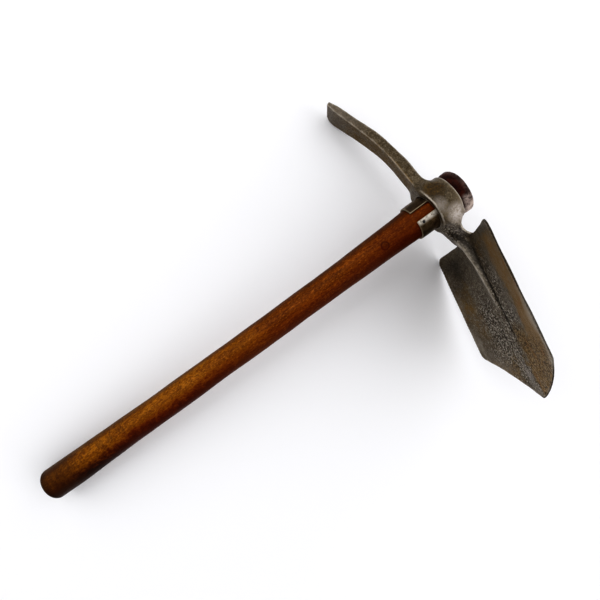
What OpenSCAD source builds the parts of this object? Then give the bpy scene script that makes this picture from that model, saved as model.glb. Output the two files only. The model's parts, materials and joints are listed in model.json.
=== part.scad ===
// Pick and shovel tool: a one-piece forged head, wedged on a round wooden handle that passes through
// its eye from the top. A split steel collar lines the lower half of the eye.
//
// Each piece is drawn upright in the tool's own frame, in millimetres: +Z runs up the handle with zero
// at the middle of the eye, +X points to the pick and +Y to the side with the collar's slit.
// lay_down() then rests the tool on the floor on its butt, its pick's corner and one blade shoulder.

/* [Handle] */
// Length of the handle from the middle of the eye down to the butt
handle_reach = 484; // [400:1:600]
// Radius of the butt end
butt_r = 15.7; // [15:0.1:17]
// Radius of the straight grip
grip_r = 14.3; // [13:0.1:15]
// Length of the straight grip
grip_length = 110; // [60:1:120]
// Length of the straight butt end, from the butt
butt_band = 30; // [12:1:40]
// Distance from the butt up to the lower end of the straight grip
grip_start = 184; // [150:1:200]
// Radius of the handle where it meets the collar
throat_r = 16.6; // [16:0.1:16.8]
// Radius of the swollen top that stops the head
knob_r = 23.5; // [22.5:0.1:25]
// Height of the swollen top above the eye
knob_height = 12.5; // [11:0.5:20]
// Rounding of both ends of the handle
end_round = 4; // [2:0.5:6]

/* [Eye] */
// Height of the eye, along the handle
eye_height = 26; // [24:1:30]
// Outer radius of the eye at its lower rim
eye_low_r = 24.6; // [24:0.1:27]
// Outer radius of the eye at its upper rim
eye_top_r = 23.4; // [23:0.1:25]
// Radius of the bore at the lower rim
bore_low_r = 19; // [18.9:0.1:20]
// Radius of the bore at the upper rim
bore_top_r = 20.5; // [20:0.1:21]
// Clearance between the bore and what it holds
seat_gap = 0.05; // [0.02:0.01:0.1]

/* [Collar] */
// How far the collar shows below the eye
collar_drop = 22; // [15:1:26]
// How far the collar goes up into the eye
collar_rise = 13; // [8:1:16]
// Wall of the collar
collar_wall = 1.8; // [1.5:0.1:2]
// Width of the slit in the collar
slit_width = 11.3; // [6:0.1:14]
// Radius of a nail's flush head
nail_head_r = 1.6; // [1.2:0.1:2]
// Length of a nail
nail_length = 11; // [8:0.5:14]

/* [Pick] */
// Distance from the handle's axis to the chisel edge
pick_reach = 154; // [135:1:170]
// Length of the pick's straight root, from the handle's axis
root_reach = 50; // [48:1:60]
// Radius of the pick's bend
bend_r = 190; // [150:1:220]
// Angle that the pick turns through, down towards the handle
bend_angle = 17; // [10:0.5:20]
// Width of the pick at its root
root_width = 19; // [16:0.5:24]
// Width of the chisel edge
edge_width = 30.5; // [24:0.5:34]
// Thickness of the pick at its root
root_thick = 12.5; // [10:0.5:14]
// Thickness of the pick where its bevel starts
bevel_thick = 7; // [5:0.5:8]
// Thickness of the chisel edge itself
edge_thick = 4; // [1:0.2:5]
// Rounding of the edge's worn corner, on the side away from the slit
worn_round = 9; // [2:0.5:12]

/* [Blade] */
// Distance from the handle's axis to the blade's top edge
blade_start = 45; // [42:1:50]
// Width of the blade
blade_width = 160; // [130:1:180]
// Length of the blade's straight sides
side_length = 125; // [90:1:140]
// Length of the whole blade, down to its point
blade_length = 173; // [150:1:200]
// Thickness of the blade
blade_thick = 2; // [2:0.1:3.5]
// How far the blade is hollowed towards the handle
dish = 12; // [6:0.5:16]
// Angle that the blade leans down towards the handle
blade_lean = 14; // [8:0.5:18]
// Rounding of the blade's two shoulders
shoulder_round = 9; // [5:0.5:12]
// Rounding of the blade's point and lower corners
point_round = 5; // [3:0.5:8]
// Distance from the handle's axis to the end of the forged rib
rib_reach = 106; // [90:1:120]

/* [Hidden] */
$fn = 96;

// Chamfer of the eye's rims, how far a cut runs past the head, and half the size of an outline's block
rim = 1;
past = 50;
block_half = 60;

// Heights along the handle
eye_low = -eye_height / 2 + 1;
eye_top = eye_low + eye_height;
collar_low = eye_low - collar_drop;
collar_top = eye_low + collar_rise;
knob_top = eye_top + knob_height;
butt = -handle_reach;
grip_low = butt + grip_start;
grip_top = grip_low + grip_length;
taper_steps = 10;
round_steps = 6;

// The collar's outside is a slim cone that fills the bore at the eye's lower rim
collar_low_r = throat_r + collar_wall;
collar_slope = (bore_low_r - seat_gap - collar_low_r) / collar_drop;
slit_angle = 85;
nail_turn = 29;
nail_height = collar_low + 6;
nail_shank_r = 0.9;
nail_head_thick = 1;
nail_spare = 2;

// The pick's centre line: straight root, round bend, straight tip
root_mid = -4.4;
bend_steps = 10;
flare_reach = root_reach + 20;
root_top = root_mid + root_thick / 2;
bevel_length = 10;
corner_round = 2;
flare_half = 14;
bend_end_x = root_reach + bend_r * sin(bend_angle);
bend_end_z = root_mid - bend_r * (1 - cos(bend_angle));
tip_run = (pick_reach - bend_end_x) / cos(bend_angle);
pick_length = root_reach + bend_r * bend_angle * PI / 180 + tip_run;

// The blade is part of a thin tube whose axis leans towards the handle
half_width = blade_width / 2;
dish_r = (half_width * half_width + dish * dish) / (2 * dish);
blade_mid = 1.6;
neck_half = 15;
neck_low = -8.7;
neck_top = 0;
dip_reach = 36;
rib_root = 55;
rib_middle = 75;
rib_low = -10.3;
rib_end_z = blade_mid - (rib_reach - blade_start) * tan(blade_lean);

// ---------- plain functions ----------

function unit(v) = v / norm(v);
function mix(a, b, t) = a + (b - a) * t;
function collar_r(z) = collar_low_r + collar_slope * (z - collar_low);
function bore_r(z) = mix(bore_low_r, bore_top_r, (z - eye_low) / eye_height);
function arc(cx, cy, r, from, to, steps) =
    [for (i = [0:steps]) [cx + r * cos(mix(from, to, i / steps)), cy + r * sin(mix(from, to, i / steps))]];

// Place and direction of the pick's centre line at a distance s from the handle's axis
function bend_turn(s) = min(max((s - root_reach) / bend_r * 180 / PI, 0), bend_angle);
function pick_line(s) =
    s <= root_reach ? [s, root_mid]
    : s - root_reach <= bend_r * bend_angle * PI / 180
    ? [root_reach + bend_r * sin(bend_turn(s)), root_mid - bend_r * (1 - cos(bend_turn(s)))]
    : [bend_end_x, bend_end_z] + (s - pick_length + tip_run) * [cos(bend_angle), -sin(bend_angle)];
function pick_normal(s) = [sin(bend_turn(s)), cos(bend_turn(s))];
function pick_thick(s) =
    s < root_reach ? root_thick
    : s < pick_length - bevel_length
    ? mix(root_thick, bevel_thick, (s - root_reach) / (pick_length - bevel_length - root_reach))
    : mix(bevel_thick, edge_thick, (s - pick_length + bevel_length) / bevel_length);
function pick_edge(s, side) = pick_line(s) + side * pick_thick(s) / 2 * pick_normal(s);

// Point of the blade at a distance u down from its top edge and y to the side, on its inner face
function blade_point(u, y) =
    let (sag = dish_r - sqrt(dish_r * dish_r - y * y))
    [-blade_start - u * cos(blade_lean) + sag * sin(blade_lean), y,
        blade_mid - u * sin(blade_lean) - sag * cos(blade_lean)];

// ---------- handle ----------

function butt_taper() = [for (i = [0:taper_steps])
    let (t = i / taper_steps)
    [grip_r + (butt_r - grip_r) * (1 - t) * (1 - t), mix(butt + butt_band, grip_low, t)]];
function throat_taper() = [for (i = [0:taper_steps])
    let (t = i / taper_steps)
    [grip_r + (throat_r - grip_r) * t * t, mix(grip_top, collar_low, t)]];
function handle_outline() = concat(
    [[0, butt]],
    arc(butt_r - end_round, butt + end_round, end_round, -90, 0, round_steps),
    butt_taper(),
    throat_taper(),
    [[collar_r(collar_top) - collar_wall, collar_top],
     [bore_r(collar_top) - seat_gap, collar_top],
     [bore_top_r - seat_gap, eye_top],
     [knob_r, eye_top + knob_height / 2]],
    arc(knob_r - end_round, knob_top - end_round, end_round, 0, 90, round_steps),
    [[0, knob_top]]);

module handle() {
    color([0.42, 0.19, 0.08]) lay_down() difference() {
        rotate_extrude() polygon(handle_outline());
        nails(nail_shank_r);
    }
}

// ---------- collar and its nails ----------

module collar_shell() {
    rotate_extrude() polygon([
        [collar_low_r - collar_wall, collar_low],
        [collar_low_r, collar_low],
        [collar_r(collar_top), collar_top],
        [collar_r(collar_top) - collar_wall, collar_top]]);
}

module slit() {
    rotate([0, 0, slit_angle])
        translate([0, -slit_width / 2, collar_low - 1])
            cube([2 * collar_low_r, slit_width, collar_drop + collar_rise + 2]);
}

// One nail beside the slit and one straight across from it, each drawn from a little outside the collar
module at_nails() {
    for (across = [0, 180])
        rotate([0, 0, slit_angle + nail_turn + across])
            translate([collar_r(nail_height) + nail_spare, 0, nail_height])
                rotate([0, -90, 0])
                    children();
}

module nails(shank_r, head_r = 0) {
    at_nails() {
        cylinder(h = nail_spare + nail_length, r = shank_r);
        if (head_r > 0) cylinder(h = nail_spare + nail_head_thick, r = head_r);
    }
}

// What is left of the nails: their heads end just below the collar's surface, to pass through the bore
module nail_trim() {
    rotate_extrude() polygon([
        [0, collar_low], [collar_low_r - seat_gap, collar_low],
        [collar_r(collar_top) - seat_gap, collar_top], [0, collar_top]]);
}

module collar() {
    color([0.38, 0.38, 0.34]) lay_down() difference() {
        collar_shell();
        slit();
        nails(nail_shank_r, nail_head_r);
    }
}

module collar_nails() {
    color([0.22, 0.21, 0.2]) lay_down() intersection() {
        nails(nail_shank_r, nail_head_r);
        nail_trim();
    }
}

// ---------- head ----------

module eye() {
    rotate_extrude() polygon([
        [0, eye_low], [eye_low_r - rim, eye_low], [eye_low_r, eye_low + rim],
        [eye_top_r, eye_top - rim], [eye_top_r - rim, eye_top], [0, eye_top]]);
}

module bore() {
    translate([0, 0, eye_low]) cylinder(h = eye_height, r1 = bore_low_r, r2 = bore_top_r);
    translate([0, 0, eye_top - rim]) cylinder(h = past, r = bore_top_r);
    translate([0, 0, eye_low - past]) cylinder(h = past, r = bore_low_r);
}

// The pick seen from the side, in the XZ plane
function pick_side() = let (
    bend = [for (i = [0:bend_steps]) mix(root_reach, pick_length - tip_run, i / bend_steps)],
    far = concat(bend, [pick_length - bevel_length, pick_length]))
    concat(
        [for (s = far) pick_edge(s, -1)],
        [for (i = [len(far) - 1:-1:0]) pick_edge(far[i], 1)],
        [[eye_top_r + 12, root_top], [eye_top_r + 6, root_top + 3.5],
         [eye_top_r + 3.5, root_top + 7], [eye_top_r + 1, eye_top - rim],
         [0, eye_top - rim], [0, eye_low], [eye_low_r, eye_low]]);

// The pick seen from above, in the XY plane
function pick_plan() = concat(
    [[0, -eye_top_r], [eye_low_r - 2, -flare_half], [eye_low_r + 12, -root_width / 2 - 0.6],
     [flare_reach, -root_width / 2]],
    arc(pick_reach - worn_round, worn_round - edge_width / 2, worn_round, -90, 0, round_steps),
    arc(pick_reach - corner_round, edge_width / 2 - corner_round, corner_round, 0, 90, round_steps),
    [[flare_reach, root_width / 2], [eye_low_r + 12, root_width / 2 + 0.6],
     [eye_low_r - 2, flare_half], [0, eye_top_r]]);

module side_block(outline) {
    rotate([90, 0, 0]) translate([0, 0, -block_half]) linear_extrude(2 * block_half) polygon(outline);
}

module plan_block(outline) {
    translate([0, 0, -block_half]) linear_extrude(2 * block_half) polygon(outline);
}

module pick() {
    intersection() {
        side_block(pick_side());
        plan_block(pick_plan());
    }
}

// The blade's outline, flat, with u down the blade along +X
function blade_outline() = let (
    r = shoulder_round,
    p = point_round,
    corner = atan2(half_width, blade_length - side_length))
    concat(
        arc(r, r - half_width, r, 180, 270, round_steps),
        arc(side_length - p / 2, p - half_width, p, 270, 360 - corner, round_steps),
        arc(blade_length - p, 0, p, -corner, corner, round_steps),
        arc(side_length - p / 2, half_width - p, p, corner, 90, round_steps),
        arc(r, half_width - r, r, 90, 180, round_steps));

module blade_shell() {
    translate([0, 0, -dish_r]) rotate([0, 90, 0]) difference() {
        cylinder(h = blade_length + 2, r = dish_r + blade_thick, $fn = 180);
        translate([0, 0, -1]) cylinder(h = blade_length + 4, r = dish_r, $fn = 180);
    }
}

module blade() {
    translate([-blade_start, 0, blade_mid]) rotate([0, blade_lean, 180]) intersection() {
        blade_shell();
        translate([0, 0, -2 * dish]) linear_extrude(3 * dish) polygon(blade_outline());
    }
}

// The neck and the rib that it ends in, seen from the side
function neck_side() = [
    [0, eye_low], [-eye_low_r, eye_low], [-blade_start + 7, neck_low], [-rib_middle, rib_low],
    [-rib_reach, rib_end_z], [-rib_reach, rib_end_z + 1], [-blade_start - 6, blade_mid + 0.5],
    [-blade_start, blade_mid + 1], [-dip_reach, neck_top], [-eye_low_r - 6, neck_top + 2],
    [-eye_top_r - 1, eye_top - 4], [-eye_top_r, eye_top - rim], [0, eye_top - rim]];

function neck_plan() = [
    [0, eye_top_r], [-18, neck_half + 2], [-28, neck_half], [-blade_start - 2, neck_half],
    [-rib_root, 9], [-rib_middle, 5], [-rib_reach, 1],
    [-rib_reach, -1], [-rib_middle, -5], [-rib_root, -9],
    [-blade_start - 2, -neck_half], [-28, -neck_half], [-18, -neck_half - 2], [0, -eye_top_r]];

module neck() {
    intersection() {
        side_block(neck_side());
        plan_block(neck_plan());
    }
}

module head() {
    color([0.4, 0.39, 0.35]) lay_down() difference() {
        union() {
            eye();
            pick();
            neck();
            blade();
        }
        bore();
    }
}

// ---------- the tool at rest on the floor ----------

// The lowest points of the butt, the pick's corner and the blade's shoulder, for a floor that
// faces along up, in the tool's own frame
function butt_foot(up) =
    [0, 0, butt + end_round] - (butt_r - end_round) * unit([up.x, up.y, 0]) - end_round * up;
function pick_foot(up) = let (
    inward = worn_round * unit([up.x, up.y]),
    x = pick_reach - worn_round - inward.x,
    s = pick_length - (pick_edge(pick_length, -1).x - x) / cos(bend_angle))
    [x, worn_round - edge_width / 2 - inward.y, pick_edge(s, -1).y];
function blade_foot(up) = let (
    down = unit([up.x, up.y]),
    u = shoulder_round * (1 + down.x),
    y = shoulder_round * (1 - down.y) - half_width)
    blade_point(u, y);
function floor_up(up) = let (
    a = butt_foot(up),
    n = unit(cross(blade_foot(up) - a, pick_foot(up) - a)))
    n.y < 0 ? -n : n;
function settled(up, rounds) = rounds == 0 ? up : settled(floor_up(up), rounds - 1);

up = settled([0, 1, 0], 6);
ahead = unit([0, 0, 1] - up.z * up);
aside = cross(up, ahead);
turn = [ahead, aside, up];

// Far points of the tool, laid down, give the middle of its box
far_points = [
    [0, 0, butt], [0, 0, knob_top],
    [pick_reach, edge_width / 2, pick_line(pick_length).y],
    [pick_reach, -edge_width / 2, pick_line(pick_length).y],
    blade_point(blade_length, 0),
    blade_point(side_length, half_width),
    blade_point(side_length, -half_width)];
laid = [for (p = far_points) turn * p];
middle_x = (min([for (p = laid) p.x]) + max([for (p = laid) p.x])) / 2;
middle_y = (min([for (p = laid) p.y]) + max([for (p = laid) p.y])) / 2;
floor_z = (turn * butt_foot(up)).z;

module lay_down() {
    translate([-middle_x, -middle_y, -floor_z])
        multmatrix([
            [ahead.x, ahead.y, ahead.z, 0],
            [aside.x, aside.y, aside.z, 0],
            [up.x, up.y, up.z, 0],
            [0, 0, 0, 1]])
            children();
}

handle();
head();
collar();
collar_nails();
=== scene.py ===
"""Looks of the pick and shovel tool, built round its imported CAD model.

Every piece is modelled in the tool's own frame, in millimetres: x runs to the pick, y to the side with
the collar's slit and z up the handle, with zero at the middle of the eye. tool_frame() finds that frame
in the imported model. The head is one blended solid: signed distances describe it, and skin() meshes it.
"""
import json
import math

import bpy
import numpy as np
from mathutils import Matrix, Vector


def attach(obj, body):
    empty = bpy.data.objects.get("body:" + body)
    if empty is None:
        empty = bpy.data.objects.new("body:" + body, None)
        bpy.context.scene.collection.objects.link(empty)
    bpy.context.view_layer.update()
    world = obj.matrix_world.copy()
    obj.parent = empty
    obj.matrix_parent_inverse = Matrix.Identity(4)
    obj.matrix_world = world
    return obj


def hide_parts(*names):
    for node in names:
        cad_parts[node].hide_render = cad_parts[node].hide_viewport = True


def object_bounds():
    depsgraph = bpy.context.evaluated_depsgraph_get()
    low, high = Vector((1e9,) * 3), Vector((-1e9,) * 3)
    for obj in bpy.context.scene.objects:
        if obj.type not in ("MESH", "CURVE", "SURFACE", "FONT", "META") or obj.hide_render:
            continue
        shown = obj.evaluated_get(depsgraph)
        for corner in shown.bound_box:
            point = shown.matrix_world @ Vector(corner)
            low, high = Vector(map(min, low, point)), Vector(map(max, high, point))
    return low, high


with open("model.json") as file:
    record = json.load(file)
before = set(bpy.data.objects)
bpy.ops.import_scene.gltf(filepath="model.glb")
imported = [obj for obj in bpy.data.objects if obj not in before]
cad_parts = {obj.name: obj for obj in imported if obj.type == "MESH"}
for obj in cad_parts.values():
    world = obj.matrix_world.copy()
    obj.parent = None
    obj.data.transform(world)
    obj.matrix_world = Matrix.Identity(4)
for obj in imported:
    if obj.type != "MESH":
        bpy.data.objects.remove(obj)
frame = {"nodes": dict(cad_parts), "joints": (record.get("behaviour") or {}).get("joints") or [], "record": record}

MM = 0.001
cad_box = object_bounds()

# ---------- driving sizes, in millimetres ----------

HANDLE_REACH = 484
BUTT_RADIUS = 15.7
BUTT_ROUND = 3.6
GRIP_RADIUS = 14.3
THROAT_RADIUS = 16.6
BUTT_BAND = 30
GRIP_LOW, GRIP_TOP = -300, -190
KNOB_RADIUS = 23.5
KNOB_ROUND = 2.2
KNOB_MID, KNOB_TOP = 20.2, 26.5
HANDLE_BOW = 1.4
HANDLE_SIDES = 120
RING_GAP = 2.0
SEAT_GAP = 0.05
KNOT, KNOT_RADIUS = (-4.2, 15.7, -73), 4

EYE_LOW, EYE_TOP = -12, 14
EYE_LOW_RADIUS, EYE_TOP_RADIUS = 24.6, 23.4
EYE_OVAL = 1.2
BORE_LOW_RADIUS, BORE_TOP_RADIUS = 19.0, 20.5

COLLAR_LOW, COLLAR_TOP = -34, 1
COLLAR_LOW_RADIUS, COLLAR_TOP_RADIUS = 18.4, 18.9
COLLAR_WALL = 1.7
COLLAR_LIP = 0.5
SLIT_ANGLE = 85
SLIT_HALF = 17.6
SLIT_SWELL = 0.9
NAIL_ANGLE, NAIL_HEIGHT = SLIT_ANGLE + 29, -28
NAIL_HEAD_RADIUS, NAIL_SHANK_RADIUS = 1.6, 0.9
NAIL_DEPTH, NAIL_DOME, NAIL_RIM = 10, 0.22, 0.9

PICK_REACH = 154
PICK_ROOT = 50
PICK_MID = -4.4
BEND_RADIUS = 190
BEND_ANGLE = math.radians(17)
PICK_ROOT_HALF, PICK_EDGE_HALF = 9.5, 15.2
PICK_ROOT_FLARE = 5.5
PICK_ROOT_THICK, PICK_BEVEL_THICK, PICK_EDGE_THICK = 12.5, 7.2, 4
PICK_BEVEL = 10
PICK_SHARP_CORNER, PICK_WORN_CORNER = 1.2, 9.0

BLADE_START = 45
BLADE_MID = 1.6
BLADE_HALF = 80
BLADE_SIDE, BLADE_LENGTH = 125, 173
BLADE_THICK = 2
BLADE_WORN = 0.35
BLADE_DISH = 12
BLADE_LEAN = math.radians(14)
BLADE_SHOULDER_ROUND, BLADE_POINT_ROUND = 9, 4
DISH_RADIUS = (BLADE_HALF**2 + BLADE_DISH**2) / (2 * BLADE_DISH)
CREASE_DEPTH, CREASE_HALF, CREASE_Y = 0.6, 2.5, 3
NECK_HALF = 14.5
NECK_WEB = 2.2
RIB_END = -106

HEAD_LOW, HEAD_HIGH = (-222, -84, -50), (162, 84, 18)
SKIN_STEP = 0.9

# ---------- the picture ----------

FLOOR_HALF = 30.0
WORLD_STRENGTH = 0.42
CAMERA_PLACE, CAMERA_AIM = (-62.5, 445.2, -184.3), (4.3, 0, -172.5)
CAMERA_LENS, CAMERA_SENSOR = 26.4, 36
HANDLE_SLOPE = math.radians(35.94)


def srgb(red, green, blue):
    """A colour given as screen values from 0 to 255, as the linear values that a shader takes."""
    shares = [value / 255 for value in (red, green, blue)]
    return tuple(s / 12.92 if s <= 0.04045 else ((s + 0.055) / 1.055) ** 2.4 for s in shares) + (1.0,)


# ---------- the tool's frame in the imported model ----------

def cad_points(node):
    mesh = frame["nodes"][node].data
    flat = np.empty(3 * len(mesh.vertices), np.float32)
    mesh.vertices.foreach_get("co", flat)
    return flat.reshape(-1, 3).astype(float)


def tool_frame():
    """The matrix from the tool's frame to the row frame, in metres."""
    mounts = {mount["name"]: mount for mount in frame["record"]["mounts"]}
    up = np.array(frame["joints"][0]["axis"], float)
    up /= np.linalg.norm(up)
    eye_middle = np.array(mounts["butt_face"]["pos_m"]) + HANDLE_REACH * MM * up
    reach = cad_points("head") - eye_middle
    reach -= np.outer(reach @ up, up)
    far = np.linalg.norm(reach, axis=1)
    blade_point = reach[far > far.max() - 0.2 * MM].mean(0)
    pick_way = -blade_point / np.linalg.norm(blade_point)
    side_way = np.cross(up, pick_way)
    matrix = Matrix.Identity(4)
    for row in range(3):
        matrix[row] = (pick_way[row], side_way[row], up[row], eye_middle[row])
    return matrix


TOOL = tool_frame()


def tool_spot(x, y, z):
    """A place in the tool's frame, in millimetres, as a point of the row frame, in metres."""
    return TOOL @ Vector((x * MM, y * MM, z * MM))


# ---------- numbers ----------

def share_of(value, start, end):
    """Goes evenly from 0 to 1 as value goes from start to end, upwards or downwards."""
    return np.clip((value - start) / (end - start), 0, 1)


def ease(value, start, end):
    """Like share_of, with a soft start and end."""
    share = share_of(value, start, end)
    return share * share * (3 - 2 * share)


def part_way(start, end, share):
    return start + (end - start) * share


def hump(value, middle, half_width):
    """A bell curve, 1 at its middle."""
    return np.exp(-((value - middle) / half_width) ** 2)


def profile(x, *stops):
    """Goes in straight lines through stops of (x, value), which are in the order of rising x."""
    return np.interp(x, *zip(*stops))


def ripples(points, wavelength, seed, waves=24):
    """Smooth random unevenness from -1 to 1 or so: a sum of plane waves in random directions."""
    random = np.random.default_rng(seed)
    ways = random.normal(size=(waves, 3))
    ways /= np.linalg.norm(ways, axis=1)[:, None]
    lengths = wavelength * random.uniform(0.7, 1.6, waves)
    phases = random.uniform(0, 2 * math.pi, waves)
    total = np.zeros(len(points))
    for way, length, phase in zip(ways, lengths, phases):
        total += np.sin(points @ way * (2 * math.pi / length) + phase)
    return total / math.sqrt(waves)


def angles_of(points):
    """Each point's angle round the handle, in degrees from the pick's side towards the slit's."""
    return np.degrees(np.arctan2(points[:, 1], points[:, 0]))


def outward_of(points):
    """Each point's direction straight away from the handle's axis, and its distance from the axis."""
    across = points * (1, 1, 0)
    radius = np.linalg.norm(across, axis=1)
    return across / np.maximum(radius, 1e-6)[:, None], radius


# ---------- meshes ----------

def make_piece(name, points, faces, body, replaced):
    """A piece of the tool from points in the tool's frame, which its material reads as tool_place."""
    points = np.asarray(points, float)
    turn, origin = np.array(TOOL.to_3x3()), np.array(TOOL.translation)
    faces = [[int(corner) for corner in face] for face in faces]
    mesh = bpy.data.meshes.new(name)
    mesh.from_pydata((points * MM @ turn.T + origin).tolist(), [], faces)
    mesh.polygons.foreach_set("use_smooth", [True] * len(mesh.polygons))
    mesh.attributes.new("tool_place", "FLOAT_VECTOR", "POINT").data.foreach_set("vector", points.ravel())
    piece = bpy.data.objects.new(name, mesh)
    bpy.context.scene.collection.objects.link(piece)
    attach(piece, body)
    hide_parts(replaced)
    return piece


def paint(piece, name, layers):
    """Stores the sum of some layers, kept from 0 to 1, which the piece's material reads by name."""
    values = np.clip(sum(layers), 0, 1)
    store = piece.data.attributes.new(name, "FLOAT", "POINT")
    store.data.foreach_set("value", np.asarray(values, np.float32))


def grid_faces(rings, sides):
    """Quads between closed rings of points. Each ring has the same number of sides."""
    ring, side = np.meshgrid(np.arange(rings - 1), np.arange(sides), indexing="ij")
    here = ring * sides + side
    beside = ring * sides + (side + 1) % sides
    return np.stack([here, beside, beside + sides, here + sides], -1).reshape(-1, 4)


def turned(outline, sides):
    """Points and faces of a closed turned solid. The outline is (radius, height), from pole to pole."""
    outline = np.asarray(outline, float)
    angles = np.arange(sides) * (2 * math.pi / sides)
    radii, heights = outline[1:-1, 0], outline[1:-1, 1]
    rings = np.stack([
        np.outer(radii, np.cos(angles)),
        np.outer(radii, np.sin(angles)),
        np.repeat(heights[:, None], sides, 1)], -1).reshape(-1, 3)
    points = np.vstack([rings, [[0, 0, outline[0, 1]], [0, 0, outline[-1, 1]]]])
    low, high = len(rings), len(rings) + 1
    last = len(rings) - sides
    faces = grid_faces(len(radii), sides).tolist()
    faces += [[low, (s + 1) % sides, s] for s in range(sides)]
    faces += [[high, last + s, last + (s + 1) % sides] for s in range(sides)]
    return points, faces


# ---------- signed distances ----------

def union(a, b, blend):
    """The nearer of two distances, with a fillet about as wide as blend where they meet."""
    share = np.clip(0.5 + 0.5 * (b - a) / blend, 0, 1)
    return b * (1 - share) + a * share - blend * share * (1 - share)


def common(a, b, rounding):
    """What lies inside both, with the edge between them rounded."""
    out_a, out_b = np.maximum(a + rounding, 0), np.maximum(b + rounding, 0)
    return np.minimum(np.maximum(a, b) + rounding, 0) + np.hypot(out_a, out_b) - rounding


def eye(x, y, z):
    """The ring round the handle, a little oval towards the pick."""
    wall = EYE_LOW_RADIUS + (EYE_TOP_RADIUS - EYE_LOW_RADIUS) * (z - EYE_LOW) / (EYE_TOP - EYE_LOW)
    oval = EYE_OVAL * share_of(x, 6, EYE_TOP_RADIUS) ** 2
    middle = (EYE_TOP + EYE_LOW) / 2
    return common(np.hypot(x, y) - wall - oval, np.abs(z - middle) - (EYE_TOP - middle), 0.8)


def bore_radius(z):
    return part_way(BORE_LOW_RADIUS, BORE_TOP_RADIUS, share_of(z, EYE_LOW, EYE_TOP))


def bore(x, y, z):
    return np.hypot(x, y) - bore_radius(z)


def pick_line(x, z):
    """How far along the pick's centre line a place is, and how far above it. The line is straight to the
    root, then an arc, and straight again to the edge."""
    out, up = x - PICK_ROOT, z - PICK_MID
    bend_end = PICK_ROOT + BEND_RADIUS * BEND_ANGLE
    turn = np.arctan2(out, up + BEND_RADIUS)
    in_bend = (turn > 0) & (turn < BEND_ANGLE)
    past_bend = turn >= BEND_ANGLE
    past_out = out - BEND_RADIUS * math.sin(BEND_ANGLE)
    past_up = up + BEND_RADIUS * (1 - math.cos(BEND_ANGLE))
    past_along = bend_end + past_out * math.cos(BEND_ANGLE) - past_up * math.sin(BEND_ANGLE)
    past_above = past_out * math.sin(BEND_ANGLE) + past_up * math.cos(BEND_ANGLE)
    along = np.where(past_bend, past_along, np.where(in_bend, PICK_ROOT + BEND_RADIUS * turn, x))
    bend_above = np.hypot(out, up + BEND_RADIUS) - BEND_RADIUS
    above = np.where(past_bend, past_above, np.where(in_bend, bend_above, up))
    return along, above


PICK_END = (PICK_ROOT + BEND_RADIUS * BEND_ANGLE
            + (PICK_REACH - PICK_ROOT - BEND_RADIUS * math.sin(BEND_ANGLE)) / math.cos(BEND_ANGLE))


def pick(x, y, z):
    """A flat bar that widens and thins towards a chisel edge, with one corner worn round."""
    along, above = pick_line(x, z)
    half = part_way(PICK_ROOT_HALF, PICK_EDGE_HALF, share_of(along, 68, PICK_END))
    flare = PICK_ROOT_FLARE * share_of(along, 38, 20) ** 2
    thinning = share_of(along, PICK_ROOT, PICK_END - PICK_BEVEL)
    bevel = share_of(along, PICK_END - PICK_BEVEL, PICK_END)
    thick = part_way(PICK_ROOT_THICK, PICK_BEVEL_THICK, thinning)
    thick = thick + (PICK_EDGE_THICK - PICK_BEVEL_THICK) * bevel
    corner = np.where(y < 0, PICK_WORN_CORNER, PICK_SHARP_CORNER)
    plan = common(np.abs(y) - half - flare, np.maximum(along - PICK_END, -along), corner)
    return common(plan, np.abs(above) - thick / 2, 0.9 - 0.3 * bevel)


def blade_place(x, y, z):
    """How far down the blade a place is, and how far outside the middle of its dished sheet."""
    down = -(x + BLADE_START) * math.cos(BLADE_LEAN) - (z - BLADE_MID) * math.sin(BLADE_LEAN)
    out = -(x + BLADE_START) * math.sin(BLADE_LEAN) + (z - BLADE_MID) * math.cos(BLADE_LEAN)
    return down, np.hypot(y, out + DISH_RADIUS) - DISH_RADIUS - BLADE_THICK / 2


def neck_underside(x, y, z, top):
    """How far below the neck and the rib a place is. They have a crest in the middle, with a gentle flank
    on one side that sweeps into the blade and a steep flank on the other."""
    crest = profile(x, (RIB_END, -15.4), (-92, -13.4), (-73, -10.6), (-43, -9.2), (-24, -11.0), (-14, -12))
    gentle = profile(x, (RIB_END, 0.30), (-66, 0.30), (-40, 0.14), (-24, 0.04))
    steep = profile(x, (RIB_END, 1.6), (-66, 2.8), (-50, 1.9), (-38, 1.0), (-30, 0.55), (-22, 0.2))
    sweep = profile(x, (-56, 0.022), (-42, 0.0))
    across = np.abs(y)
    slope = np.where(y < 0, gentle + sweep * across, steep)
    flank = crest + slope * across
    low = np.where(x < -BLADE_START, flank, np.minimum(flank, top - NECK_WEB))
    return (low - z) / np.sqrt(1 + slope * slope)


def neck_and_rib(x, y, z):
    """The bar from the eye to the blade and the ridge that it ends in. Its top falls from the eye's rim to
    the blade, and past the blade's start it stays under the sheet."""
    top = profile(
        x, (-BLADE_START, 2.6), (-40, 1.1), (-36, 0), (-32, 0.6), (-29.5, 2.3), (-24, 10), (-21, 13))
    underside = neck_underside(x, y, z, top)
    over = np.where(x < -BLADE_START, blade_place(x, y, z)[1], 0.65 * (z - top))
    gentle_half = profile(x, (-58, 40), (-46, NECK_HALF))
    steep_half = profile(x, (-58, 40), (-44, 18), (-40, NECK_HALF))
    half = np.where(y < 0, gentle_half, steep_half) - 5 * share_of(z, 0, 12)
    flanks = np.maximum(np.abs(y) - half, np.maximum(x, RIB_END - 14 - x))
    return common(flanks, np.maximum(underside, over), 1.0)


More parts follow.
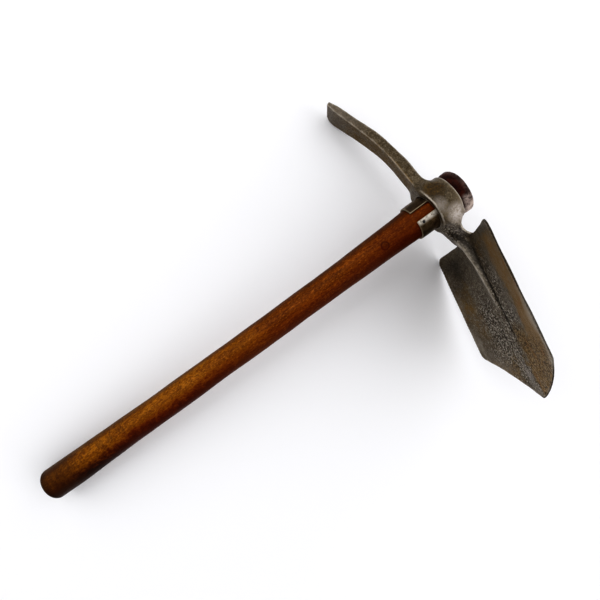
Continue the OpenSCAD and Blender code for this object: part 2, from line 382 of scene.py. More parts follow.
def blade_outline(down, y):
    """How far outside the blade's outline a place is: straight sides, round shoulders, a bulging point."""
    across = np.abs(y)
    taper = math.atan2(BLADE_HALF, BLADE_LENGTH - BLADE_SIDE)
    bulge = np.where(y > 0, 2.4, 0.6) * np.sin(math.pi * share_of(across, 0, BLADE_HALF))
    ends = (down - BLADE_LENGTH) * math.sin(taper) + across * math.cos(taper) - bulge
    ends = ends + 1.2 * np.exp(-across / 5)
    return common(common(across - BLADE_HALF, -down, BLADE_SHOULDER_ROUND), ends, BLADE_POINT_ROUND)


def blade(x, y, z):
    """The dished sheet, with a faint crease down its middle and a point that is worn thinner."""
    down, off = blade_place(x, y, z)
    crease = CREASE_DEPTH * np.exp(-np.abs(y - CREASE_Y) / CREASE_HALF)
    crease = crease * share_of(down, 30, 60) * share_of(down, 165, 120)
    thick = BLADE_THICK / 2 - BLADE_WORN * share_of(down, BLADE_SIDE - 10, BLADE_LENGTH)
    sheet = np.maximum(off - thick + 0.2 * crease, -off - thick + crease)
    return common(blade_outline(down, y), sheet, 0.7)


def head_field(x, y, z):
    """The whole forging. The rib runs softly into the blade on one side and sharply on the other."""
    tail = union(blade(x, y, z), neck_and_rib(x, y, z), np.where(y > 0, 2.0, 7.0))
    body = union(eye(x, y, z), tail, 6)
    body = union(body, pick(x, y, z), 9)
    return common(body, -bore(x, y, z), 0.7)


# ---------- skinning a field ----------

def slope_of(field, points):
    """The field and its slope at each point."""
    reach = 0.05
    here = field(*points.T)
    slopes = [(field(*(points + reach * way).T) - field(*(points - reach * way).T)) / (2 * reach)
              for way in np.eye(3)]
    return here, np.stack(slopes, 1)


def onto_surface(field, points, rounds):
    for _ in range(rounds):
        here, slope = slope_of(field, points)
        points = points - slope * (here / np.maximum((slope * slope).sum(1), 0.05))[:, None]
    return points


def neighbour_mean(points, faces):
    """The mean of each point's neighbours along the faces' edges."""
    total = np.zeros_like(points)
    count = np.zeros(len(points))
    for corner in range(4):
        for other in (faces[:, (corner + 1) % 4], faces[:, (corner + 3) % 4]):
            for axis in range(3):
                total[:, axis] += np.bincount(faces[:, corner], points[other, axis], len(points))
            count += np.bincount(faces[:, corner], minlength=len(points))
    return total / np.maximum(count, 1)[:, None]


def crossed_cells(inside):
    """The grid cells that have corners on both sides of the surface."""
    cells = tuple(n - 1 for n in inside.shape)
    held = sum(inside[a:a + cells[0], b:b + cells[1], c:c + cells[2]].astype(np.int8)
               for a in (0, 1) for b in (0, 1) for c in (0, 1))
    return (held > 0) & (held < 8)


def quads_across(inside, number, axis):
    """One quad round each crossed grid edge along an axis. number gives each cell's point."""
    u, v = (axis + 1) % 3, (axis + 2) % 3
    first, second = [slice(None)] * 3, [slice(None)] * 3
    first[axis], second[axis] = slice(0, -1), slice(1, None)
    starts, ends = inside[tuple(first)], inside[tuple(second)]
    edges = np.argwhere(starts != ends)
    edges = edges[(edges[:, u] > 0) & (edges[:, v] > 0)]
    around = []
    for du, dv in ((-1, -1), (0, -1), (0, 0), (-1, 0)):
        cell = edges.copy()
        cell[:, u] += du
        cell[:, v] += dv
        around.append(number[tuple(cell.T)])
    quads = np.stack(around, 1)
    flip = ~starts[tuple(edges.T)]
    quads[flip] = quads[flip][:, ::-1]
    return quads


def skin(field, low, high):
    """Surface nets: one point in each cell that the surface crosses, and one quad round each crossed edge.
    The points are then evened out and pulled back onto the surface."""
    axes = [np.arange(a, b + SKIN_STEP, SKIN_STEP, dtype=np.float32) for a, b in zip(low, high)]
    inside = field(axes[0][:, None, None], axes[1][None, :, None], axes[2][None, None, :]) < 0
    crossed = crossed_cells(inside)
    number = np.full(crossed.shape, -1)
    number[crossed] = np.arange(np.count_nonzero(crossed))
    places = np.argwhere(crossed)
    points = np.stack([axes[k][places[:, k]] for k in range(3)], 1).astype(float) + SKIN_STEP / 2
    faces = np.vstack([quads_across(inside, number, axis) for axis in range(3)])
    for _ in range(3):
        points = onto_surface(field, points, 1)
        points += 0.5 * (neighbour_mean(points, faces) - points)
    return onto_surface(field, points, 2), faces


# ---------- node materials ----------

class Paint:
    """A node material in the making. Its methods add a node or a few and give back what comes out."""

    def __init__(self, name):
        self.material = bpy.data.materials.new(name)
        self.material.use_nodes = True
        self.tree = self.material.node_tree
        self.shader = self.tree.nodes["Principled BSDF"]
        self.place = self.node("ShaderNodeAttribute", attribute_name="tool_place").outputs["Vector"]
        self.colour = None

    def node(self, kind, inputs=None, **settings):
        made = self.tree.nodes.new(kind)
        for name, value in settings.items():
            setattr(made, name, value)
        for socket, value in (inputs or {}).items():
            self.feed(made.inputs[socket], value)
        return made

    def feed(self, socket, value):
        if isinstance(value, bpy.types.NodeSocket):
            self.tree.links.new(value, socket)
        else:
            socket.default_value = value

    def stretched(self, x, y, z):
        """The place in the tool's frame, squeezed by a share along each axis."""
        return self.node("ShaderNodeMapping", {"Vector": self.place, "Scale": (x, y, z)}).outputs[0]

    def noise(self, size, detail=3, rough=0.55, twist=0, vector=None):
        """Noise whose features are about size millimetres wide."""
        return self.node("ShaderNodeTexNoise", {
            "Vector": vector or self.place, "Scale": 1 / size, "Detail": detail,
            "Roughness": rough, "Distortion": twist}).outputs["Fac"]

    def band(self, value, start, end, low=0.0, high=1.0):
        """Goes from low to high as value goes from start to end."""
        return self.node("ShaderNodeMapRange", {
            "Value": value, "From Min": start, "From Max": end, "To Min": low, "To Max": high},
            interpolation_type="SMOOTHSTEP").outputs["Result"]

    def sum(self, a, b):
        return self.node("ShaderNodeMath", {0: a, 1: b}, operation="ADD").outputs[0]

    def times(self, a, b):
        return self.node("ShaderNodeMath", {0: a, 1: b}, operation="MULTIPLY").outputs[0]

    def shifted(self, value, noise, reach):
        """The value, moved up or down by noise, by up to half the reach."""
        return self.sum(value, self.times(self.sum(noise, -0.5), reach))

    def mix(self, share, a, b, way="MIX"):
        made = self.node("ShaderNodeMix", data_type="RGBA", blend_type=way)
        for socket, value in ((made.inputs["Factor"], share), (made.inputs[6], a), (made.inputs[7], b)):
            self.feed(socket, value)
        return made.outputs[2]

    def lay(self, share, colour, way="MIX"):
        """Lays a colour over the material's colour, by a share from 0 to 1."""
        self.colour = self.mix(share, self.colour, colour, way)

    def distance(self, spot):
        """How far the place is from a spot, in millimetres."""
        made = self.node("ShaderNodeVectorMath", {0: self.place, 1: spot}, operation="DISTANCE")
        return made.outputs["Value"]

    def painted(self, name):
        return self.node("ShaderNodeAttribute", attribute_name=name).outputs["Fac"]

    def patchy(self, name, noise, unevenness):
        """A painted value whose borders are broken up by noise."""
        painted = self.painted(name)
        reach = self.band(painted, 0, 0.3, 0, unevenness)
        return self.band(self.shifted(painted, noise, reach), 0.05, 0.95)

    def axis(self, name):
        return self.node("ShaderNodeSeparateXYZ", {0: self.place}).outputs[name]

    def bump(self, height, depth, under=None):
        """Relief of that depth in millimetres."""
        inputs = {"Height": height, "Distance": depth * MM, "Strength": 1.0}
        if under:
            inputs["Normal"] = under
        return self.node("ShaderNodeBump", inputs).outputs[0]

    def finish(self, **sockets):
        for name, value in {"Base_Color": self.colour, **sockets}.items():
            self.feed(self.shader.inputs[name.replace("_", " ")], value)
        return self.material


def lay_knot(m):
    """A knot: a dark ring with a browner middle."""
    away = m.distance(KNOT)
    ring_in = m.band(away, KNOT_RADIUS - 1.3, KNOT_RADIUS)
    ring_out = m.band(away, KNOT_RADIUS + 1.3, KNOT_RADIUS)
    middle = m.band(away, KNOT_RADIUS, KNOT_RADIUS - 1, 0, 0.4)
    m.lay(m.sum(m.times(m.times(ring_in, ring_out), 0.9), middle), srgb(46, 12, 2))


def lay_dark_wood_and_side_shade(m, height, pick_side, mottle):
    """Dark red on the side away from the pick, most at the butt: partly the wood's own colour and partly painted
    shade on the side that the lamps leave dark. Dark brown on the pick's side.
    """
    low_share = m.band(height, -200, -340, 0.45, 0.85)
    red_and_shade_share = m.times(low_share, m.band(m.axis("Y"), -14, 0, 0.4, 1))
    loose_side = m.shifted(pick_side, mottle, 26)
    by_butt = m.band(height, -370, -440)
    # Painted shade: this dark red and near black stand partly for the wood's colour and partly for shade on the
    # side away from the pick.
    m.lay(m.times(m.band(loose_side, 1, -10), red_and_shade_share), m.mix(by_butt, srgb(88, 26, 2), srgb(58, 10, 0)))
    m.lay(m.times(m.band(loose_side, -5, -14), red_and_shade_share), m.mix(by_butt, srgb(54, 12, 2), srgb(16, 3, 1)))
    m.lay(m.band(pick_side, 5, 13, 0, 0.7), srgb(42, 22, 6))


def wood():
    """Oiled hardwood: golden towards the butt, russet towards the head, and maroon at the knob, with painted shade
    on the side away from the pick and painted highlights along the lower handle and on the knob.
    """
    m = Paint("handle_wood")
    height, pick_side = m.axis("Z"), m.axis("X")
    fleck = m.noise(1.1, 3, 0.65, vector=m.stretched(1, 1, 0.45))
    streak = m.noise(3.2, 4, 0.6, 0.6, vector=m.stretched(1, 1, 0.12))
    mottle = m.noise(6, 5, 0.75, 0.6, vector=m.stretched(1, 1, 0.75))
    stain = m.noise(34, 3, 0.55, 0.4)
    curl = m.noise(3.6, 2, 0.5, 0.6, vector=m.stretched(0.3, 0.3, 1))

    grain = m.band(streak, 0.38, 0.62)
    golden = m.mix(grain, srgb(130, 80, 8), srgb(152, 98, 18))
    russet = m.mix(grain, srgb(100, 53, 3), srgb(128, 70, 8))
    m.colour = m.mix(m.band(m.shifted(height, stain, 160), -310, -190), golden, russet)
    m.lay(m.band(mottle, 0.4, 0.64, 0, 0.5), srgb(84, 38, 2))
    m.lay(m.times(m.band(curl, 0.5, 0.62), m.band(height, -350, -400, 0, 0.5)), srgb(84, 50, 12))
    m.lay(m.band(fleck, 0.5, 0.62, 0, 0.55), srgb(64, 26, 2))
    m.lay(m.band(fleck, 0.43, 0.33, 0, 0.35), srgb(200, 128, 50))
    lay_knot(m)
    m.lay(m.band(height, -130, -50, 0, 0.4), srgb(84, 30, 2))
    # Darker wood and painted shade on the side away from the pick.
    lay_dark_wood_and_side_shade(m, height, pick_side, mottle)

    grimy = m.shifted(m.band(height, -410, -HANDLE_REACH), mottle, 0.7)
    m.lay(m.band(grimy, 0.15, 0.9, 0, 0.7), srgb(52, 26, 8))
    m.lay(m.band(height, 10 - HANDLE_REACH, 1 - HANDLE_REACH, 0, 0.7), srgb(26, 12, 4))
    knob = m.band(height, 4, 12)
    m.lay(knob, m.mix(m.band(mottle, 0.4, 0.65), srgb(34, 12, 7), srgb(64, 28, 18)))
    # Pale rubbed wood, and painted highlights along the lower handle and on the knob's rim.
    wear_and_highlight = m.painted("wear_and_highlight")
    pale_wood_and_highlight = m.mix(knob, srgb(98, 84, 58), srgb(206, 190, 181))
    m.lay(m.times(wear_and_highlight, m.band(mottle, 0.35, 0.55, 0.17, 0.85)), pale_wood_and_highlight)

    rough = m.sum(m.band(mottle, 0.3, 0.7, 0.36, 0.5), m.times(wear_and_highlight, 0.2))
    relief = m.bump(m.sum(m.times(fleck, 0.6), m.times(streak, 0.5)), 0.25)
    relief = m.bump(mottle, 0.3, relief)
    return m.finish(
        Roughness=rough, Normal=relief, Specular_IOR_Level=0.05, Coat_Weight=0.02, Coat_Roughness=0.3)


def forged_steel():
    """Old forged steel. The head's painted values say where it is brown, dark, pitted, bright or worn, and where
    light and shade are painted: highlights on the eye, neck, crest and rims, glints among the pits and shade along
    the crease.
    """
    m = Paint("head_steel")
    cloud = m.noise(26, 4, 0.6, 0.6)
    blotch = m.noise(8, 5, 0.7, 0.4)
    grain = m.noise(1.4, 3, 0.7)
    speck = m.noise(2.0, 4, 0.75)
    mottled = m.sum(m.times(blotch, 0.6), m.times(grain, 0.4))
    brown = m.patchy("brown", blotch, 1.2)
    dark = m.patchy("dark", speck, 1.6)
    pitted = m.painted("pitted")
    pits = m.times(pitted, m.band(speck, 0.47, 0.58))
    glints = m.times(pitted, m.band(speck, 0.47, 0.38))

    m.colour = m.mix(m.band(cloud, 0.35, 0.65), srgb(88, 78, 62), srgb(108, 96, 78))
    m.lay(m.band(blotch, 0.45, 0.68, 0, 0.6), srgb(70, 58, 40))
    m.lay(m.band(grain, 0.5, 0.66, 0, 0.5), srgb(52, 44, 34))
    m.lay(m.band(grain, 0.46, 0.34, 0, 0.4), srgb(150, 136, 116))
    m.lay(m.times(brown, 0.9), srgb(126, 99, 46))
    m.lay(m.times(pits, 0.95), srgb(44, 39, 33))
    # Painted glints: light specks among the pits, fewest where the metal is brown.
    m.lay(m.times(glints, m.band(brown, 0, 0.6, 1, 0.25)), srgb(190, 183, 172))
    m.lay(m.times(brown, 0.55), (1.0, 0.84, 0.42, 1.0), "MULTIPLY")
    m.lay(m.times(brown, m.band(cloud, 0.56, 0.68, 0, 0.5)), srgb(142, 84, 34))
    # Dark scale, and painted shade along the crease.
    m.lay(m.times(dark, 0.9), srgb(38, 29, 17))
    # Bright metal, and painted highlights on the eye's cheek and the neck.
    m.lay(m.times(m.painted("bright"), m.band(mottled, 0.4, 0.58, 0.3, 1)), srgb(172, 164, 158))
    # Worn metal, and painted highlights on the crest and the eye's rims.
    m.lay(m.times(m.painted("wear_and_highlight"), m.band(mottled, 0.4, 0.54, 0.45, 0.9)), srgb(194, 186, 174))
    m.lay(m.times(m.painted("grime"), 0.7), srgb(38, 31, 26))

    rough = m.sum(m.band(cloud, 0.3, 0.7, 0.36, 0.46), m.band(blotch, 0.3, 0.7, -0.06, 0.08))
    rough = m.sum(rough, m.times(m.sum(pits, dark), 0.15))
    relief = m.bump(grain, 0.3)
    relief = m.bump(m.times(speck, m.sum(m.times(pitted, -1.3), -0.3)), 0.6, relief)
    relief = m.bump(blotch, 0.9, relief)
    return m.finish(Roughness=rough, Metallic=m.band(dark, 0, 1.2, 0.9, 0.6), Normal=relief)


def collar_steel():
    """Brown sheet steel, rubbed bright on one side of the slit and dark on the other."""
    m = Paint("collar_steel")
    blotch = m.noise(5, 5, 0.7, 0.3)
    m.colour = m.mix(m.band(blotch, 0.35, 0.65), srgb(76, 60, 40), srgb(112, 94, 70))
    m.lay(m.times(m.painted("dark"), 0.75), srgb(40, 28, 16))
    m.lay(m.times(m.painted("bright"), m.band(blotch, 0.32, 0.52, 0.2)), srgb(212, 206, 196))
    m.lay(m.painted("wear_and_highlight"), srgb(150, 138, 116))
    relief = m.bump(blotch, 0.4, m.bump(m.noise(0.9, 3, 0.6), 0.08))
    return m.finish(Roughness=m.band(blotch, 0.3, 0.7, 0.34, 0.5), Metallic=0.9, Normal=relief)


def nail_steel():
    m = Paint("nail_steel")
    grain = m.noise(0.5, 3, 0.6)
    m.colour = m.mix(m.band(grain, 0.4, 0.65), srgb(44, 42, 44), srgb(82, 80, 82))
    return m.finish(Roughness=m.band(grain, 0.3, 0.7, 0.4, 0.6), Metallic=0.8, Normal=m.bump(grain, 0.06))


def pale_floor():
    m = Paint("pale_floor")
    m.colour = srgb(236.5, 236.5, 239)
    return m.finish(Roughness=0.65)


# ---------- the head ----------

def spot(points, centre, size):
    """1 at the centre and 0 beyond size, for places to paint."""
    away = np.linalg.norm((points - np.array(centre)) / np.array(size), axis=1)
    return ease(away, 1, 0.25)


def standing_out(points, faces, normals):
    """How far each point stands out from its neighbours, evened out once."""
    proud = ((points - neighbour_mean(points, faces)) * normals).sum(1)
    return neighbour_mean(np.repeat(proud[:, None], 3, 1), faces)[:, 0]


def rough_neck(points):
    return spot(points, (-34, 6, -8), (20, 16, 12))


def roughened(points, normals):
    """The head's points, moved a little as on a hammered and rusted surface, but not in the bore."""
    seat = ease(bore(*points.T), 1.5, 3.0)
    uneven = 0.16 * ripples(points, 26, 1) + 0.05 * ripples(points, 8, 2)
    uneven += 0.6 * rough_neck(points) * ripples(points, 4.2, 3)
    return points + normals * (seat * uneven)[:, None]


def eye_rim_highlights(x, y, z):
    """The edges of the eye's two ends, away from the pick and the neck: worn metal with painted edge highlights.
    """
    ends = hump(z, EYE_TOP - 0.7, 0.7) + 0.5 * hump(z, EYE_LOW + 0.6, 0.6)
    return ease(np.hypot(x, y), 20.5, 21.5) * ends * (x > -22) * (x < 20)


class HeadPlaces:
    """Where each vertex of the head is, mostly as shares from 0 to 1, for its paints."""

    def __init__(self, points, normals):
        x, y, z = points.T
        down = blade_place(x, y, z)[0]
        self.points, self.x, self.y = points, x, y
        self.loose_y = y + 6 * ripples(points, 36, 4) + 2 * ripples(points, 9, 7)
        self.loose_down = down + 8 * ripples(points, 36, 9) + 2 * ripples(points, 9, 10)
        self.eye_rim_highlights = eye_rim_highlights(x, y, z)
        self.neck = rough_neck(points)

        self.on_pick = ease(x, 26, 40)
        self.under_pick = self.on_pick * ease(pick_line(x, z)[1], -3, -5)
        on_blade = ease(x, -46, -60)
        self.under = on_blade * ease(normals[:, 2], 0.2, -0.3)
        self.back = on_blade - self.under
        on_sheet = np.maximum(on_blade, ease(x, -38, -42) * ease(np.abs(y), 17, 20))
        self.thin_edge = on_sheet * ease(blade_outline(down, y), -1.3, -0.3)
        self.right_wing = self.under * ease(self.loose_y, 22, 46)
        self.right_edge = self.under * ease(self.loose_y, 60, 72) * ease(down, 50, 90)
        self.right_tip = self.under * ease(self.loose_y, 0, 12) * ease(self.loose_down, 88, 122)
        crest_half = profile(x, (-100, 2.5), (-50, 5.2))
        self.crest_line = ease(x, -36, -48) * ease(x, -126, -86) * hump(y, -0.9 * crest_half, crest_half)
        self.crease_line = ease(x, -26, -36) * ease(x, -160, -130) * hump(y, CREASE_Y, 1.8)

    def patch(self, across, along, half_width, half_length):
        """A soft patch on the side of the blade that faces the grip."""
        beside = hump(self.loose_y, across, half_width)
        return self.under * beside * hump(self.loose_down, along, half_length)

    def spot(self, centre, size):
        return spot(self.points, centre, size)

    def cloud(self, wavelength, seed, start, end):
        """Large random clouds on the blade's back."""
        return self.back * ease(ripples(self.points, wavelength, seed), start, end)


def worn_and_highlight_layers(at, proud):
    """Edges and high lines that work has rubbed to bare metal, with painted highlights on the rib's crest and the
    eye's rims.
    """
    return [
        ease(proud, 0.05, 0.14) * (1 - at.thin_edge) * (1 - 0.3 * at.on_pick),
        # Painted highlight: a light line along the rib's crest.
        1.2 * at.crest_line,
        # Worn rims with painted edge highlights.
        0.7 * at.eye_rim_highlights,
        0.3 * at.patch(-75, 100, 5, 40),
        0.4 * at.right_edge]


def pitted_layers(at):
    """Rust pits, with painted glints among them, most of all down the middle of the blade, at its point and on the
    neck.
    """
    return [
        at.patch(-24, 98, 24, 40),
        0.9 * at.patch(14, 66, 14, 46),
        0.9 * at.patch(-4, 145, 30, 24),
        0.9 * at.right_tip,
        0.12 * at.under,
        1.3 * at.neck,
        0.7 * at.crease_line,
        0.5 * at.crest_line,
        0.08 * at.on_pick,
        0.3 * at.cloud(40, 11, -0.6, 0.9)]


def bright_and_highlight_layers(at):
    """Broad bright metal on the pick's end and on two patches on the blade, and painted highlights on the eye by
    the neck and on the neck.
    """
    return [
        # Painted highlights: the light off the eye's cheek by the neck, and down the neck's side.
        at.spot((-20, 14, 4), (16, 17, 15)),
        0.5 * at.spot((-5, 24, -6), (13, 12, 9)),
        0.8 * at.neck * ease(at.y, 2, 12),
        0.2 * at.patch(-50, 128, 22, 16),
        0.2 * ease(at.x, 90, 140) * (1 - at.under_pick),
        0.5 * at.patch(-6, 155, 5, 14)]


def dark_layers(at):
    """Dark scale on the blade's edge and left shoulder, the eye's cheek by the pick and the pick, and painted
    shade along the crease beside the rib's steep flank.
    """
    return [
        0.15 * at.neck,
        at.thin_edge,
        # Painted shade: the dark line along the crease, beside the rib's steep flank.
        at.crease_line,
        0.8 * at.patch(-56, 8, 26, 26),
        0.75 * at.spot((10, 21, -1), (22, 16, 18)),
        0.4 * at.on_pick,
        0.45 * at.patch(11, 16, 10, 40),
        0.35 * at.patch(-60, 40, 22, 18),
        0.3 * at.patch(6, 100, 12, 25),
        0.45 * at.cloud(44, 13, 0, 1.2)]


def brown_layers(at):
    """Brown patina, over the blade's right wing and tip and in softer patches elsewhere."""
    return [
        at.right_wing * part_way(0.6, 1, hump(at.loose_y, 56, 14)),
        0.9 * at.right_tip * (1 - at.right_wing),
        0.6 * at.patch(22, 4, 22, 16) * (1 - at.right_wing),
        0.5 * at.patch(-56, 60, 20, 34),
        0.55 * at.patch(-40, 140, 36, 18),
        0.4 * at.cloud(50, 12, -0.2, 1.2),
        0.7 * at.spot((12, 20, -1), (18, 16, 14)),
        0.35 * at.under_pick,
        0.15 * at.on_pick]


def add_head():
    points, faces = skin(head_field, HEAD_LOW, HEAD_HIGH)
    slope = slope_of(head_field, points)[1]
    normals = slope / np.linalg.norm(slope, axis=1)[:, None]
    proud = standing_out(points, faces, normals)
    at = HeadPlaces(points, normals)
    head = make_piece("head_forging", roughened(points, normals), faces, "head", "head")
    # Worn edges, and painted highlights on the crest and the eye's rims.
    paint(head, "wear_and_highlight", worn_and_highlight_layers(at, proud))
    paint(head, "grime", [ease(proud, -0.02, -0.08)])
    paint(head, "pitted", pitted_layers(at))
    # Bright metal, with painted highlights on the eye's cheek and the neck.
    paint(head, "bright", bright_and_highlight_layers(at))
    # Dark scale, and painted shade along the crease.
    paint(head, "dark", dark_layers(at))
    paint(head, "brown", brown_layers(at))
    head.data.materials.append(forged_steel())


# ---------- the handle ----------

def handle_radius(z):
    """The handle's radius below the eye: a straight band at the butt, a slim grip and a thicker throat."""
    swell = (BUTT_RADIUS - GRIP_RADIUS) * (1 - share_of(z, BUTT_BAND - HANDLE_REACH, GRIP_LOW)) ** 2
    throat = (THROAT_RADIUS - GRIP_RADIUS) * share_of(z, GRIP_TOP, COLLAR_LOW) ** 2
    return GRIP_RADIUS + swell + throat


def rounded_end(radius, height, rounding, outward):
    """The rounded edge of a turned end, from its flat face to its side, or back again at the upper end."""
    turns = np.linspace(0, math.pi / 2, 9)
    edge = [(radius - rounding + rounding * math.sin(t), height - outward * rounding * (1 - math.cos(t)))
            for t in turns]
    return edge if outward < 0 else edge[::-1]


def handle_outline():
    """The handle's outline from the butt's middle to the knob's middle."""
    butt = [(r, -HANDLE_REACH) for r in np.arange(0, BUTT_RADIUS - BUTT_ROUND, 1.0)]
    shaft = [(float(handle_radius(z)), z)
             for z in np.arange(-HANDLE_REACH + BUTT_ROUND + 1, COLLAR_TOP, RING_GAP)]
    seat = [(bore_radius(z) - SEAT_GAP, z) for z in np.linspace(COLLAR_TOP + 1, EYE_TOP, 6)]
    seat_top = BORE_TOP_RADIUS - SEAT_GAP
    flare = [(part_way(seat_top, KNOB_RADIUS, math.sin(t * math.pi / 2)), part_way(EYE_TOP, KNOB_MID, t))
             for t in np.linspace(0, 1, 7)[1:]]
    top = [(r, KNOB_TOP) for r in np.arange(KNOB_RADIUS - KNOB_ROUND - 1, 0.5, -1.0)]
    low_end = butt + rounded_end(BUTT_RADIUS, -HANDLE_REACH, BUTT_ROUND, -1)
    high_end = rounded_end(KNOB_RADIUS, KNOB_TOP, KNOB_ROUND, 1) + top + [(0, KNOB_TOP)]
    return low_end + shaft + seat + flare + high_end


def shaved(points):
    """The turned points, made a little uneven and bowed, and swollen through the collar's slit."""
    z = points[:, 2]
    radial, radius = outward_of(points)
    free = ease(z, COLLAR_LOW, COLLAR_LOW - 14) + ease(z, EYE_TOP + 1, EYE_TOP + 5)
    uneven = 0.22 * ripples(points * (1, 1, 0.35), 24, 5) + 0.07 * ripples(points * (1, 1, 0.3), 7, 6)
    from_slit = np.abs(angles_of(points) - SLIT_ANGLE)
    in_slit = ease(from_slit, SLIT_HALF, SLIT_HALF - 6) * ease(z, COLLAR_LOW, COLLAR_LOW + 3)
    in_slit *= ease(z, EYE_LOW + 2, EYE_LOW - 1) * (radius > 10)
    moved = free * uneven * share_of(radius, 2, 10) + SLIT_SWELL * in_slit
    points = points + radial * moved[:, None]
    points[:, 0] -= HANDLE_BOW * np.sin(math.pi * share_of(z, -HANDLE_REACH, COLLAR_LOW))
    return points


def handle_wear_and_highlight(points, turned_points):
    """Where the wood is pale: rubbed at the butt's edge and the knob's top edge; rubbed and with a painted
    highlight on the knob's side away from the pick; and a painted highlight in a line along the lower handle."""
    z = turned_points[:, 2]
    radius = np.hypot(turned_points[:, 0], turned_points[:, 1])
    loose_x = points[:, 0] - 3 * ripples(points, 12, 14)
    knob_low = ease(z, EYE_TOP, EYE_TOP + 3) * ease(loose_x, -10, -22)
    return [
        0.3 * ease(z, 4 - HANDLE_REACH, 1 - HANDLE_REACH) * share_of(radius, 9, 13),
        0.15 * ease(z, KNOB_TOP - 5, KNOB_TOP - 1) * share_of(radius, 12, 19),
        # The knob's side away from the pick: rubbed wood with a painted highlight on its rim.
        knob_low * part_way(0.35, 1, ease(points[:, 1], -12, 2)),
        # Painted highlight: a pale line along the lower handle on the side towards the pick, where the light
        # falls.
        0.45 * hump(angles_of(turned_points), 18, 14) * ease(z, -230, -330)]


def add_handle():
    turned_points, faces = turned(handle_outline(), HANDLE_SIDES)
    points = shaved(turned_points)
    handle = make_piece("handle_haft", points, faces, "haft", "handle")
    paint(handle, "wear_and_highlight", handle_wear_and_highlight(points, turned_points))
    handle.data.materials.append(wood())


# ---------- the collar and its nails ----------

def collar_section():
    """The wall in section as (share across the wall, share up the collar), with rounded corners."""
    round_across, round_up = 0.32, 0.018
    corner_steps, side_steps = 4, 24
    section = []
    for across, up, start in ((1, 0, -90), (1, 1, 0), (0, 1, 90), (0, 0, 180)):
        middle_across = across - round_across * (2 * across - 1)
        middle_up = up - round_up * (2 * up - 1)
        for step in range(corner_steps + 1):
            turn = math.radians(start + 90 * step / corner_steps)
            section.append((
                middle_across + round_across * math.cos(turn),
                middle_up + round_up * math.sin(turn)))
        if across != up:
            rise = [s / side_steps for s in range(1, side_steps)]
            section += [(across, share if across else 1 - share) for share in rise]
    return np.array(section)


def collar_ring(section, turn, less):
    """The wall's section at an angle round the handle, in radians, thinned by the share less."""
    across = 0.5 + (section[:, 0] - 0.5) * (1 - less)
    up = np.clip(section[:, 1], less * 0.02, 1 - less * 0.02)
    radius = part_way(COLLAR_LOW_RADIUS, COLLAR_TOP_RADIUS, up) - COLLAR_WALL * (1 - across)
    height = part_way(COLLAR_LOW, COLLAR_TOP, up)
    return np.stack([radius * math.cos(turn), radius * math.sin(turn), height], 1)


def add_collar():
    section = collar_section()
    count = len(section)
    start, end = SLIT_ANGLE + SLIT_HALF, SLIT_ANGLE - SLIT_HALF + 360
    lip = np.degrees(COLLAR_LIP / COLLAR_LOW_RADIUS)
    lip_turns = np.linspace(0, math.pi / 2, 5)
    ends, thinned = lip * (1 - np.cos(lip_turns)), 0.5 * (1 - np.sin(lip_turns))
    inner = np.linspace(start + lip, end - lip, 130)[1:-1]
    turns = np.concatenate([start + ends, inner, (end - ends)[::-1]])
    thinnings = np.concatenate([thinned, np.zeros(len(inner)), thinned[::-1]])
    rings = [collar_ring(section, turn, less) for turn, less in zip(np.radians(turns), thinnings)]
    points = np.vstack(rings)
    faces = grid_faces(len(rings), count)[:, ::-1].tolist()
    faces += [list(range(count)), list(range(len(points) - count, len(points)))[::-1]]

    below_eye = ease(points[:, 2], EYE_LOW, EYE_LOW - 4)
    points = points + outward_of(points)[0] * (0.12 * below_eye * ripples(points, 14, 8))[:, None]
    collar = make_piece("collar_sleeve", points, faces, "haft", "collar")
    first = start - 5
    turn = (angles_of(points) - first) % 360 + first
    near_slit = ease(turn, end - 3, end - 0.8) + ease(turn, start + 2, start + 0.6)
    near_low = ease(points[:, 2], COLLAR_LOW + 1.2, COLLAR_LOW + 0.5)
    paint(collar, "bright", [ease(turn, start + 22, start + 7)])
    paint(collar, "dark", [ease(turn, end - 40, end - 20)])
    paint(collar, "wear_and_highlight", [0.9 * near_slit, 0.5 * near_low])
    collar.data.materials.append(collar_steel())


def nail_outline():
    """A nail's outline from its point to the middle of its domed head, with the head's face at 0."""
    dome = [(NAIL_HEAD_RADIUS * math.cos(t), NAIL_DOME * math.sin(t))
            for t in np.linspace(0.1, math.pi / 2 - 0.1, 8)]
    point = [(0, -NAIL_DEPTH), (0.25, 0.8 - NAIL_DEPTH)]
    shank = [(NAIL_SHANK_RADIUS, 3 - NAIL_DEPTH), (NAIL_SHANK_RADIUS, -NAIL_RIM)]
    return point + shank + [(NAIL_HEAD_RADIUS, -0.1)] + dome + [(0, NAIL_DOME)]


def add_nails():
    points, faces = turned(nail_outline(), 32)
    wall = COLLAR_LOW_RADIUS + 0.12
    every_point, every_face = [], []
    for across in (0, 180):
        round_handle = Matrix.Rotation(math.radians(NAIL_ANGLE + across), 3, "Z")
        turn = round_handle @ Matrix.Rotation(math.pi / 2, 3, "Y")
        placed = (points + (0, 0, wall)) @ np.array(turn.transposed()) + (0, 0, NAIL_HEIGHT)
        every_face += [[corner + len(every_point) for corner in face] for face in faces]
        every_point += placed.tolist()
    nails = make_piece("collar_nail_heads", every_point, every_face, "haft", "collar_nails")
    nails.data.materials.append(nail_steel())


# ---------- floor, light and camera ----------

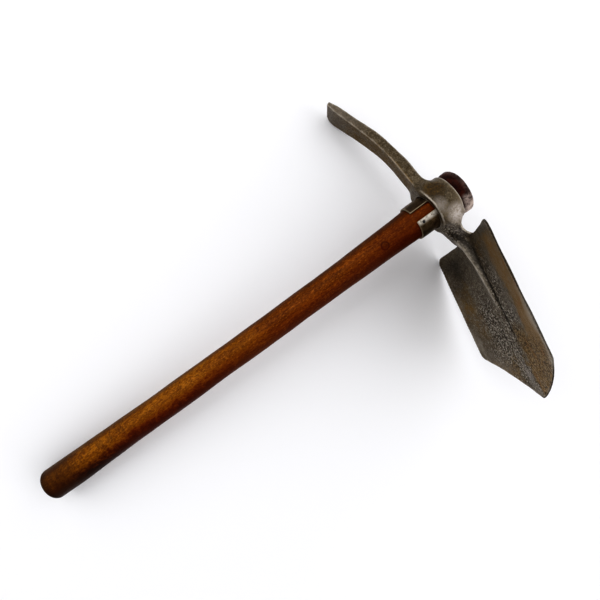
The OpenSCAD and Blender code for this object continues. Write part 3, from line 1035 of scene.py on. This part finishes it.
def add_floor():
    low = cad_box[0].z
    corners = [(x * FLOOR_HALF, y * FLOOR_HALF, low) for x, y in ((-1, -1), (1, -1), (1, 1), (-1, 1))]
    mesh = bpy.data.meshes.new("floor")
    mesh.from_pydata(corners, [], [(0, 1, 2, 3)])
    floor = bpy.data.objects.new("floor", mesh)
    bpy.context.scene.collection.objects.link(floor)
    floor.data.materials.append(pale_floor())


def add_softbox(name, place, size, power):
    """A square soft lamp that faces the tool's middle, in metres and watts."""
    lamp = bpy.data.lights.new(name, "AREA")
    lamp.size = size
    lamp.energy = power
    box = bpy.data.objects.new(name, lamp)
    bpy.context.scene.collection.objects.link(box)
    box.location = Vector(place)
    box.rotation_mode = "QUATERNION"
    box.rotation_quaternion = (-Vector(place)).to_track_quat("-Z", "Y")


def add_light():
    world = bpy.data.worlds.new("studio")
    bpy.context.scene.world = world
    world.use_nodes = True
    back = world.node_tree.nodes["Background"]
    back.inputs["Color"].default_value = (1, 1, 1, 1)
    back.inputs["Strength"].default_value = WORLD_STRENGTH
    add_softbox("softbox_pick_side", (-0.6, 3.0, 2.5), 3.5, 66)
    add_softbox("softbox_head_end", (2.75, -0.25, 2.75), 5.5, 50)
    add_softbox("softbox_blade_side", (1.5, -3.0, 2.0), 3.0, 28)


def add_camera():
    """The camera hangs over the slit's side of the tool, and the handle rises to the right in its view."""
    lens = bpy.data.cameras.new("camera")
    lens.sensor_width = CAMERA_SENSOR
    lens.lens = CAMERA_LENS
    lens.clip_start, lens.clip_end = 0.01, 20
    camera = bpy.data.objects.new("camera", lens)
    bpy.context.scene.collection.objects.link(camera)
    place = tool_spot(*CAMERA_PLACE)
    back = (place - tool_spot(*CAMERA_AIM)).normalized()
    along = TOOL.to_3x3() @ Vector((0, 0, 1))
    along = (along - back * along.dot(back)).normalized()
    square = back.cross(along)
    right = along * math.cos(HANDLE_SLOPE) - square * math.sin(HANDLE_SLOPE)
    up = along * math.sin(HANDLE_SLOPE) + square * math.cos(HANDLE_SLOPE)
    camera.matrix_world = Matrix.Translation(place) @ Matrix((right, up, back)).transposed().to_4x4()
    bpy.context.scene.camera = camera
    bpy.context.scene.view_settings.view_transform = "Standard"
    bpy.context.scene.view_settings.look = "High Contrast"


add_head()
add_handle()
add_collar()
add_nails()
add_floor()
add_light()
add_camera()
